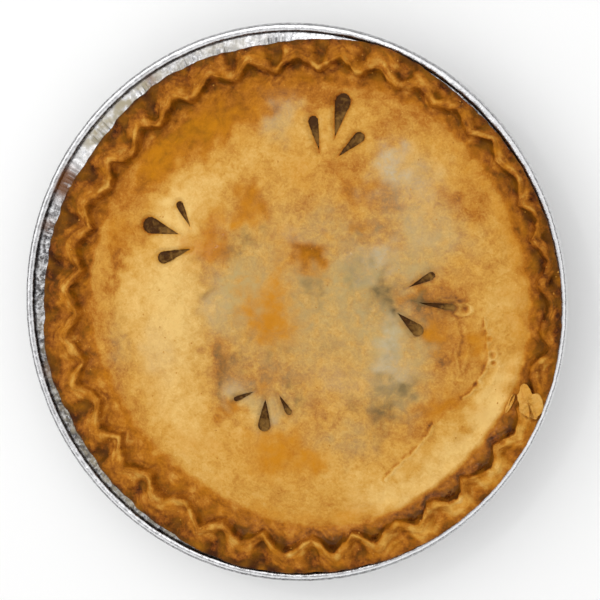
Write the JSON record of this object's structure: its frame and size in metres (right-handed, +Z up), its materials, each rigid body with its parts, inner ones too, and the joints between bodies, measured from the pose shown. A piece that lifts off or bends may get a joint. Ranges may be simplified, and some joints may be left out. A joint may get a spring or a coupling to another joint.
{
  "type": "peach pie",
  "caption": "Whole baked fruit pie with a fluted pastry rim and steam slits in its lid, sitting in a shallow round foil tin.",
  "frame": {"origin": "centre of the tin's flat base, on its underside", "axes": "+Z up through the lid, +X to the right and +Y to the far side when looked down on"},
  "size_m": [0.2448, 0.2448, 0.0405],
  "materials": {
    "foil": "bright crinkled foil with a rolled edge, a little baked-on syrup",
    "pastry": "baked golden pastry, pale in the middle, brown on the rim",
    "filling": "cooked peach in thick glossy syrup"
  },
  "bodies": {
    "root": {"foil_tin": "foil", "pie_crust": "pastry", "peach_filling": "filling"}
  },
  "joints": []
}
